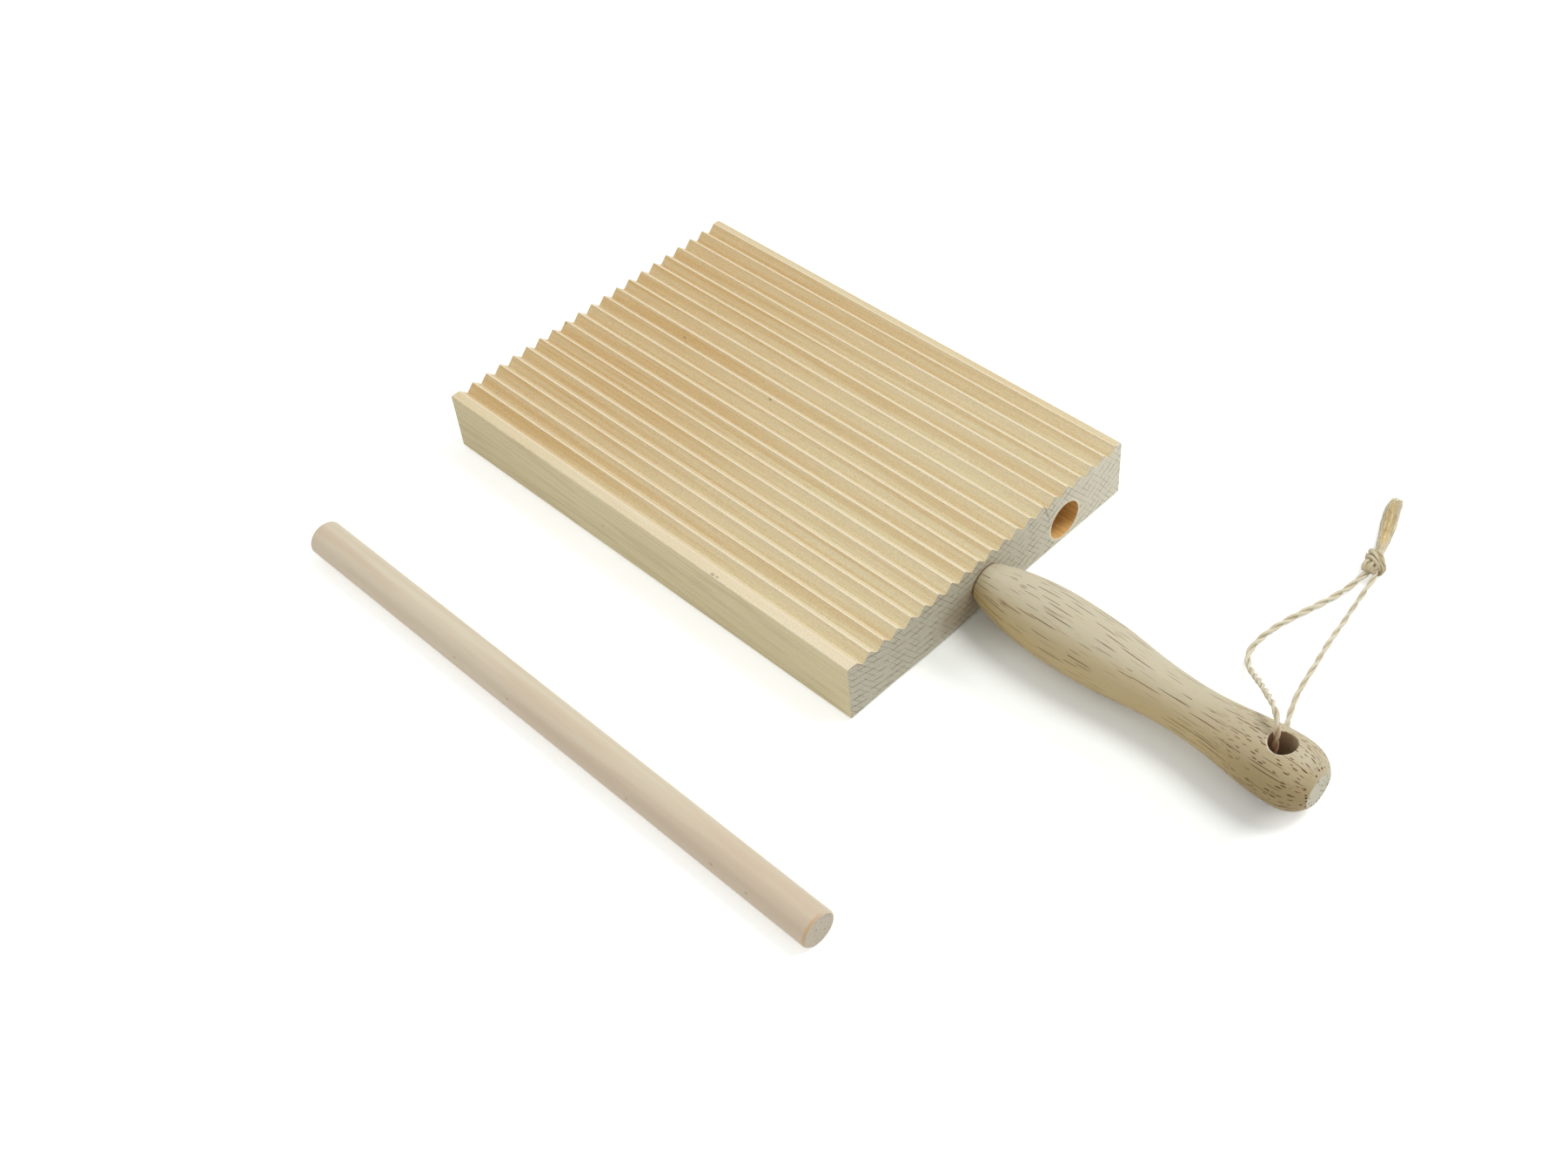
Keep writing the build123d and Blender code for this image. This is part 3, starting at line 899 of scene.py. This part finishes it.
def layFibre(bm, layer, points, radius, tipShare=0.4, shade=0.0):
    # A thin tapering fibre along the points
    rings = []
    for i, point in enumerate(points):
        ahead = aheadAt(points, i)
        across = ahead.cross(Vector((0, 0, 1)))
        if across.length < straight:
            across = ahead.cross(Vector((1, 0, 0)))
        across.normalize()
        other = ahead.cross(across)
        own = radius * (1 - (1 - tipShare) * i / (len(points) - 1))
        ring = []
        for k in range(fibreSides):
            angle = math.tau * k / fibreSides
            vertex = bm.verts.new(point + across * (own * math.cos(angle)) + other * (own * math.sin(angle)))
            vertex[layer] = (point.x + point.y, shade, fibreReach + point.z)
            ring.append(vertex)
        rings.append(ring)
    skinRings(bm, rings)


def layHair(bm, layer, s, draw, points, frames, scale):
    # One stray fibre that leaves the twine at a slant
    start = draw.randrange(s["hairEnds"][0], len(points) - s["hairEnds"][1])
    side, up = frames[start]
    turn = draw.uniform(0, math.tau)
    out = side * math.cos(turn) + up * math.sin(turn)
    ahead = (points[start + 1] - points[start]).normalized() * draw.choice((-1, 1))
    across = ahead.cross(out)
    length = draw.uniform(*s["hairLength"]) * draw.uniform(*s["hairShare"])
    lift, bend = draw.uniform(*s["hairLift"]), draw.uniform(-s["hairBend"], s["hairBend"])
    base = points[start] + out * (s["diameter"] * s["hairRoot"] * scale)
    hair = []
    for i in range(s["hairLinks"] + 1):
        t = i / s["hairLinks"]
        away = out * (length * lift * t * t) + across * (length * bend * t * t)
        hair.append(base + ahead * (length * t) + away)
    if min(point.z for point in hair) > s["leastHeight"]:
        layFibre(bm, layer, hair, s["hairRadius"], shade=start * s["shadeStep"])


def layTwine(bm, layer, line, s, seed, firstSide, hairs=True, scale=1.0):
    # Two plies round the line, with stray fibres
    draw = random.Random(seed)
    points, distances = evenly(line, s["step"])
    frames = carriedFrames(points, firstSide)
    offset = s["plyOffset"] * scale
    plyStep, seedStep = s["lumpSteps"]
    for ply in range(2):
        centres = []
        for point, (side, up), along in zip(points, frames, distances):
            turn = math.tau * along / s["lay"] + math.pi * ply
            centres.append(point + side * (offset * math.cos(turn)) + up * (offset * math.sin(turn)))

        def radiusAt(along, ply=ply):
            lump = noise.noise(Vector((along * s["lumpScale"], ply * plyStep, seed * seedStep)))
            return s["plyRadius"] * scale * (1 + s["unevenness"] * lump)

        layPly(bm, layer, s, points, centres, frames, distances, radiusAt, ply)
    if hairs:
        for _ in range(int(distances[-1] * s["hairsPerMetre"] * scale)):
            layHair(bm, layer, s, draw, points, frames, scale)
    return points


def finishMesh(bm, name, materials, body, slotName, *replaced):
    mesh = bpy.data.meshes.new(name)
    bm.to_mesh(mesh)
    bm.free()
    mesh.polygons.foreach_set("use_smooth", [True] * len(mesh.polygons))
    for material in materials:
        mesh.materials.append(material)
    piece = addObject(name, mesh)
    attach(piece, body)
    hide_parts(*replaced)
    return piece


def startMesh():
    bm = bmesh.new()
    return bm, bm.verts.layers.float_vector.new("strand")


def makeTwineMaterial(s, name, pale, tan):
    material, tree, shader, place, _ = newMaterial(name, s["roughness"])
    height = separate(tree, place)[2]
    strand = makeNode(tree, "ShaderNodeAttribute", attribute_name="strand").outputs["Vector"]
    fibres = vectorMaths(tree, "MULTIPLY", strand, s["fibreScale"])
    fibres = noiseValue(tree, fibres, detail=3.0, roughness=0.6)
    mask = bandOn(tree, 0.0, noiseValue(tree, place, scale=s["slowScale"]), *s["slowBand"])
    mask = bandOn(tree, mask, fibres, *s["fibreBand"], clamp=True)
    colour = mix(tree, mask, pale, tan)

    # Painted shade between the plies, and brown in blotches near the hole's rim
    reach = lengthOf(tree, vectorMaths(tree, "MULTIPLY", strand, (0.0, 1.0, 1.0)))
    plyShade = bandOn(tree, 0.0, reach, *s["betweenBand"], falls=True)
    colour = mix(tree, plyShade, colour, s["deep"])
    fromHole = distanceFrom(tree, place, hangHole, (1, 1, 0))
    below, above = (handleHigh.z + level for level in s["rubbedHeights"])
    holeBrown = ramp(tree, fromHole, *s["rubbedRamp"], falls=True)
    holeBrown = times(tree, holeBrown, ramp(tree, height, below, above, falls=True))
    blotches = noiseValue(tree, place, scale=s["blotchScale"])
    holeBrown = times(tree, holeBrown, bandOn(tree, s["rubbedLeast"], blotches, *s["blotchBand"]))
    colour = mix(tree, holeBrown, colour, s["brown"])
    shader.inputs["Sheen Weight"].default_value = s["sheen"]
    dress(tree, shader, colour, fibres, s["bump"])
    return material


twineMaterial = makeTwineMaterial(twine, "twineFibre", twine["pale"], twine["tan"])
for name, cadNode, route, seed, scale in (
    ("twineOverHandle", "cord_over_handle", overHandle, 3, 1.0),
    ("twineUnderHandle", "cord_under_handle", underHandle, 5, twine["thinner"]),
):
    bm, layer = startMesh()
    points = layTwine(bm, layer, smoothRoute(route), twine, seed, (1, 0, 0), scale=scale)
    piece = finishMesh(bm, name, [twineMaterial], "board", "twine", cadNode)


# Knot: an overhand knot in the doubled twine, drawn down tight and a little darker than the loop
knotLow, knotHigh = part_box("cord_knot")
knotCentre = (knotLow + knotHigh) / 2 + Vector((-0.6 * mm, 0.1 * mm, 0.0))
knotSettings = dict(
    heading=(-0.27, 0.96, 0.0),
    pale=(0.74, 0.65, 0.445),
    dark=(0.43, 0.32, 0.165),
    seed=11,
    wrapPoints=40,
    strandPoints=24,
    strandScale=0.9,
    strandSwell=0.5,
    # In turns and mm: from, to, shift ahead, radius across, radius up, slant, shift aside, scale
    wraps=[
        (-0.10, 1.04, 0.2, 2.45, 2.4, -0.62, 0.1, 1.0),
        (-0.05, 1.08, 1.6, 2.1, 2.25, -0.55, -0.2, 0.95),
        (-0.15, 1.0, -1.2, 2.35, 2.15, -0.5, 0.1, 0.95),
    ],
    # In mm: from and to ahead, aside at both, height at the middle and at the ends
    strands=[
        (-4.2, 3.3, -1.0, 0.2, 0.9, 0.2),
        (-4.2, 3.5, 0.4, -0.2, 0.8, 0.1),
        (-3.0, 3.4, 0.0, 0.5, -0.9, -0.6),
        (-3.2, 3.6, -1.8, -0.4, 0.1, 0.1),
        (-4.0, -0.4, -1.6, -0.9, 1.3, 0.4),
        (-4.1, -0.2, -0.3, 0.1, 1.5, 0.4),
        (-3.6, 0.2, 0.9, 1.1, 1.2, 0.2),
    ],
)


def makeKnot(s):
    bm, layer = startMesh()
    ahead = Vector(s["heading"]).normalized()
    up = Vector((0, 0, 1))
    side = ahead.cross(up)
    seed = s["seed"]
    for start, end, shift, wide, high, slant, aside, scale in s["wraps"]:
        line = []
        for i in range(s["wrapPoints"]):
            angle = math.tau * (start + (end - start) * i / (s["wrapPoints"] - 1))
            across = wide * math.cos(angle)
            rise = high * math.sin(angle)
            place = ahead * (shift + slant * across) + side * (across + aside) + up * rise
            line.append(knotCentre + place * mm)
        layTwine(bm, layer, line, twine, seed, ahead, scale=scale)
        seed += 1
    for begin, finish, asideStart, asideEnd, middleHeight, endHeight in s["strands"]:
        line = []
        for i in range(s["strandPoints"]):
            t = i / (s["strandPoints"] - 1)
            swell = math.sin(math.pi * t)
            aside = (asideStart + (asideEnd - asideStart) * t) * (1 + s["strandSwell"] * swell)
            place = ahead * (begin + (finish - begin) * t) + side * aside
            line.append(knotCentre + (place + up * (endHeight + (middleHeight - endHeight) * swell)) * mm)
        layTwine(bm, layer, line, twine, seed, side, hairs=False, scale=s["strandScale"])
        seed += 1
    knotMaterial = makeTwineMaterial(twine, "knotFibre", s["pale"], s["dark"])
    return finishMesh(bm, "twineKnot", [knotMaterial], "board", "twine", "cord_knot")


knot = makeKnot(knotSettings)
print("knot tied")


# Frayed ends: both ends lie together as one brush, golden in the middle and paler along its edges
tailSettings = dict(
    heading=(-0.36, 0.93, 0.0),
    length=25.6 * mm,
    fibres=420,
    fibreRadius=0.085 * mm,
    # Half the brush's width and height in mm, at shares of its length
    halfWidths=[(0.0, 0.7), (0.12, 1.3), (0.3, 1.75), (0.6, 2.2), (0.85, 2.1), (1.0, 1.5)],
    halfHeights=[(0.0, 0.8), (0.3, 1.0), (0.8, 1.15), (1.0, 0.9)],
    curl=0.35 * mm,
    wave=0.28 * mm,
    waveTurns=(1.0, 2.6),
    seed=21,
    links=16,
    start=2.9 * mm,  # ahead of the knot's middle
    longShare=0.8,
    longRange=(0.92, 1.0),
    shortRange=(0.6, 0.92),
    wander=0.5,
    curlFrom=0.8,
    settle=2.2,
    lift=0.15 * mm,
    leastHeight=0.12 * mm,
    tipShare=0.6,
    edgeFrom=0.66,
    neckRange=(0.0, 0.3),
    crownRange=(0.8, 1.1),
    pale=(0.98, 0.82, 0.46),
    tan=(0.66, 0.43, 0.15),
)


def alongTable(table, t):
    for (a, low), (b, high) in zip(table, table[1:]):
        if t <= b:
            return (low + (high - low) * (t - a) / (b - a)) * mm
    return table[-1][1] * mm


def makeTails(s, materials):
    draw = random.Random(s["seed"])
    bm, layer = startMesh()
    ahead = Vector(s["heading"]).normalized()
    up = Vector((0, 0, 1))
    side = ahead.cross(up)
    start = knotCentre + Vector(knotSettings["heading"]).normalized() * s["start"]
    tip = start + ahead * s["length"]
    for i in range(s["fibres"]):
        turn, out = draw.uniform(0, math.tau), math.sqrt(draw.random())
        shareRange = s["longRange"] if draw.random() < s["longShare"] else s["shortRange"]
        share = draw.uniform(*shareRange)
        wavePhase, waveTurn = draw.uniform(0, math.tau), draw.uniform(*s["waveTurns"])
        wander = draw.uniform(-s["wander"], s["wander"])
        fibre = []
        for k in range(s["links"] + 1):
            t = k / s["links"] * share
            angle = turn + wander * t
            across = out * alongTable(s["halfWidths"], t) * math.cos(angle)
            rise = alongTable(s["halfHeights"], t)
            wave = s["wave"] * t * math.sin(wavePhase + math.tau * waveTurn * t)
            pastCurl = max(0.0, t - s["curlFrom"]) / (1 - s["curlFrom"])
            curl = s["curl"] * pastCurl * pastCurl
            middle = start.lerp(tip, t)
            settled = math.sin(min(1.0, t * s["settle"]) * math.pi / 2)
            middle.z = start.z + (rise + s["lift"] - start.z) * settled
            place = middle + side * (across + wave + curl) + up * (out * rise * math.sin(angle))
            place.z = max(place.z, s["leastHeight"])
            fibre.append(place)
        before = len(bm.faces)
        shade = i * twine["shadeStep"]
        layFibre(bm, layer, fibre, s["fibreRadius"], tipShare=s["tipShare"], shade=shade)
        bm.faces.ensure_lookup_table()
        # The twine's paler material along the brush's edges, at its neck and at its tip
        atEdge = out * abs(math.cos(turn)) > s["edgeFrom"]
        neck, crown = draw.uniform(*s["neckRange"]), draw.uniform(*s["crownRange"])
        for k, face in enumerate(bm.faces[before:]):
            t = k // fibreSides / s["links"] * share
            face.material_index = 1 if atEdge or t < neck or t > crown else 0
    return finishMesh(bm, "twineEnds", materials, "board", "twine", "cord_tails")


endsMaterial = makeTwineMaterial(twine, "frayedFibre", tailSettings["pale"], tailSettings["tan"])
tails = makeTails(tailSettings, [endsMaterial, twineMaterial])
print("ends frayed")


# Floor, backdrop and light
studio = dict(
    floorSize=6.0,
    floorColour=(0.955, 0.98, 0.95),
    bounceColour=(0.85, 0.87, 0.86),
    distantRamp=(0.35, 1.3),
    # Camera-only glow, which is painted light: weak beside the plank's end near the handle, so the floor's
    # shadow shows there, and strong away from it, so the shadow fades
    shadowGlow=0.08,
    awayGlow=0.42,
    plankSide=(45 * mm, 3 * mm),  # from inside the plank's end to just past it
    endSide=12 * mm,
    nearSide=(-40 * mm, -24 * mm),
    twineSide=(4 * mm, 20 * mm),
    besideRamp=(4 * mm, 20 * mm),
    worldStrength=0.55,
    key={"place": (0.50, 0.62, 1.25), "aim": (0.05, 0.0, 0.0), "size": 0.70, "power": 10.2},
    fill={"place": (-0.7, -0.9, 0.9), "aim": (0.0, 0.0, 0.0), "size": 1.2, "power": 2.5},
)


def makeLamp(name, s):
    data = bpy.data.lights.new(name, "AREA")
    data.shape = "DISK"
    data.size = s["size"]
    data.energy = s["power"]
    lamp = addObject(name, data)
    lamp.location = s["place"]
    lamp.rotation_euler = (Vector(s["aim"]) - Vector(s["place"])).to_track_quat("-Z", "Y").to_euler()


def makeStudio(s):
    bm = bmesh.new()
    bmesh.ops.create_grid(bm, x_segments=1, y_segments=1, size=s["floorSize"] / 2)
    mesh = bpy.data.meshes.new("floor")
    bm.to_mesh(mesh)
    bm.free()
    material = bpy.data.materials.new("floorWhite")
    tree = emptyTree(material)
    out = tree.nodes.new("ShaderNodeOutputMaterial")
    path = tree.nodes.new("ShaderNodeLightPath").outputs
    seen = maths(tree, "ADD", path["Is Camera Ray"], path["Is Glossy Ray"], clamp=True)
    colour = mix(tree, seen, s["bounceColour"], s["floorColour"])
    matt = makeNode(tree, "ShaderNodeBsdfDiffuse", {"Color": colour})

    # White to the camera away from the handle, as in the cut-out photograph
    place = separate(tree, tree.nodes.new("ShaderNodeTexCoord").outputs["Object"])
    # Painted light: the glow lifts the floor's cast shadows away from the handle
    inside, past = s["plankSide"]
    away = ramp(tree, place[0], boardHigh.x - inside, boardHigh.x + past, falls=True)
    for part, low, high, falls in (
        (place[0], handleHigh.x - s["endSide"], handleHigh.x, False),
        (place[1], *s["nearSide"], True),
        (place[1], *s["twineSide"], False),
    ):
        away = maths(tree, "MAXIMUM", away, ramp(tree, part, low, high, falls))
    low, high = (boardHigh.x + step for step in s["besideRamp"])
    beside = bandOn(tree, 0.0, place[0], low, high, s["shadowGlow"])
    lift = mixValue(tree, away, beside, s["awayGlow"])
    fromMiddle = lengthOf(tree, combine(tree, place[0], place[1]))
    lift = maths(tree, "MAXIMUM", lift, ramp(tree, fromMiddle, *s["distantRamp"]))
    glow = makeNode(tree, "ShaderNodeEmission", {"Strength": times(tree, seen, lift)})
    both = makeNode(tree, "ShaderNodeAddShader", {0: matt.outputs[0], 1: glow.outputs[0]})
    tree.links.new(both.outputs[0], out.inputs[0])
    mesh.materials.append(material)
    floor = addObject("floor", mesh)

    world = bpy.data.worlds.new("studioWorld")
    bpy.context.scene.world = world
    tree = emptyTree(world)
    path = tree.nodes.new("ShaderNodeLightPath").outputs
    seen = maths(tree, "MAXIMUM", path["Is Camera Ray"], path["Is Glossy Ray"])
    seen = maths(tree, "MAXIMUM", seen, path["Is Transmission Ray"])
    strength = mixValue(tree, seen, s["worldStrength"], 1.0)
    sky = makeNode(tree, "ShaderNodeBackground", {"Color": (1, 1, 1, 1), "Strength": strength})
    out = tree.nodes.new("ShaderNodeOutputWorld")
    tree.links.new(sky.outputs[0], out.inputs[0])
    for name in ("key", "fill"):
        makeLamp(name + "Lamp", s[name])


makeStudio(studio)
bpy.context.scene.view_settings.view_transform = "Standard"
print("studio lit")
